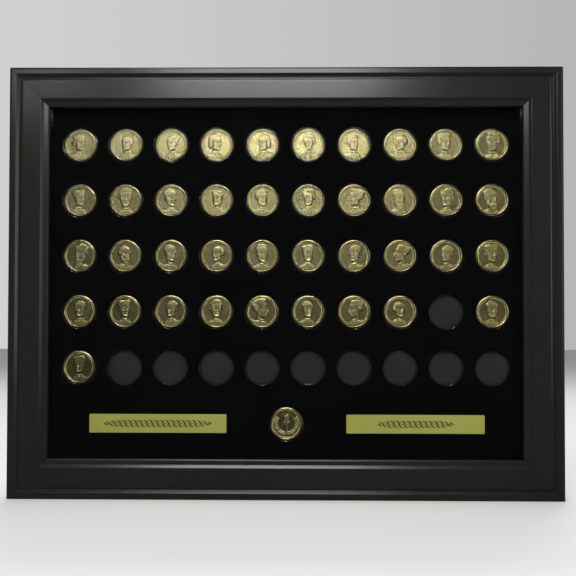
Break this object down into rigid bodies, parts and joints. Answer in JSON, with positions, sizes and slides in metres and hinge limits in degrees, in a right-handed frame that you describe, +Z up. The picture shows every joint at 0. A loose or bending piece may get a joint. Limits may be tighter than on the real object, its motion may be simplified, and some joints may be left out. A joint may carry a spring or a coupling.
{
  "type": "coin display frame",
  "caption": "Glazed picture-style frame with a velvet insert of round pits that shows small coins, with name plates, turn buttons and hanging rings.",
  "frame": {"origin": "bottom centre of the whole frame's box, on the surface it stands on", "axes": "+X to the viewer's right, +Y to the back, +Z up; the glazed front faces -Y"},
  "size_m": [0.4614, 0.0268, 0.3598],
  "materials": {
    "moulding": "satin black lacquer over wood",
    "glass": "clear polished sheet",
    "velvet": "black velvet over foam board",
    "card": "dark grey card",
    "hardboard": "brown hardboard, matt",
    "coin_brass": "struck, bright pale gold",
    "plate_brass": "brushed, olive gold",
    "zinc": "zinc plated",
    "ring_wire": "zinc plated wire"
  },
  "bodies": {
    "case": {"rail_top": "moulding", "rail_bottom": "moulding", "rail_left": "moulding", "rail_right": "moulding", "glazing": "glass", "velvet_insert": "velvet", "pit_card": "card", "back_panel": "hardboard", "name_plate_left": "plate_brass", "name_plate_right": "plate_brass", "hanger_strap_left": "zinc", "hanger_strap_right": "zinc", "coin_r1_c01": "coin_brass", "coin_r1_c02": "coin_brass", "coin_r1_c03": "coin_brass", "coin_r1_c04": "coin_brass", "coin_r1_c05": "coin_brass", "coin_r1_c06": "coin_brass", "coin_r1_c07": "coin_brass", "coin_r1_c08": "coin_brass", "coin_r1_c09": "coin_brass", "coin_r1_c10": "coin_brass", "coin_r2_c01": "coin_brass", "coin_r2_c02": "coin_brass", "coin_r2_c03": "coin_brass", "coin_r2_c04": "coin_brass", "coin_r2_c05": "coin_brass", "coin_r2_c06": "coin_brass", "coin_r2_c07": "coin_brass", "coin_r2_c08": "coin_brass", "coin_r2_c09": "coin_brass", "coin_r2_c10": "coin_brass", "coin_r3_c01": "coin_brass", "coin_r3_c02": "coin_brass", "coin_r3_c03": "coin_brass", "coin_r3_c04": "coin_brass", "coin_r3_c05": "coin_brass", "coin_r3_c06": "coin_brass", "coin_r3_c07": "coin_brass", "coin_r3_c08": "coin_brass", "coin_r3_c09": "coin_brass", "coin_r3_c10": "coin_brass", "coin_r4_c01": "coin_brass", "coin_r4_c02": "coin_brass", "coin_r4_c03": "coin_brass", "coin_r4_c04": "coin_brass", "coin_r4_c05": "coin_brass", "coin_r4_c06": "coin_brass", "coin_r4_c07": "coin_brass", "coin_r4_c08": "coin_brass", "coin_r4_c10": "coin_brass", "coin_r5_c01": "coin_brass", "coin_emblem": "coin_brass"},
    "turn_button_top_left": {"turn_button_top_left": "zinc"},
    "turn_button_top_right": {"turn_button_top_right": "zinc"},
    "turn_button_bottom_left": {"turn_button_bottom_left": "zinc"},
    "turn_button_bottom_right": {"turn_button_bottom_right": "zinc"},
    "hanger_ring_left": {"hanger_ring_left": "ring_wire"},
    "hanger_ring_right": {"hanger_ring_right": "ring_wire"}
  },
  "joints": [
    {"name": "button_top_left_turn", "type": "hinge", "parent": "case", "child": "turn_button_top_left", "pos_m": [-0.115, 0.0093, 0.3398], "axis": [0, 1, 0], "range_deg": [-180, 180]},
    {"name": "button_top_right_turn", "type": "hinge", "parent": "case", "child": "turn_button_top_right", "pos_m": [0.115, 0.0093, 0.3398], "axis": [0, 1, 0], "range_deg": [-180, 180]},
    {"name": "button_bottom_left_turn", "type": "hinge", "parent": "case", "child": "turn_button_bottom_left", "pos_m": [-0.115, 0.0093, 0.02], "axis": [0, 1, 0], "range_deg": [-180, 180]},
    {"name": "button_bottom_right_turn", "type": "hinge", "parent": "case", "child": "turn_button_bottom_right", "pos_m": [0.115, 0.0093, 0.02], "axis": [0, 1, 0], "range_deg": [-180, 180]},
    {"name": "ring_left_swing", "type": "hinge", "parent": "case", "child": "hanger_ring_left", "pos_m": [-0.2167, 0.01105, 0.272], "axis": [1, 0, 0], "range_deg": [0, 180]},
    {"name": "ring_right_swing", "type": "hinge", "parent": "case", "child": "hanger_ring_right", "pos_m": [0.2167, 0.01105, 0.272], "axis": [1, 0, 0], "range_deg": [0, 180]}
  ]
}
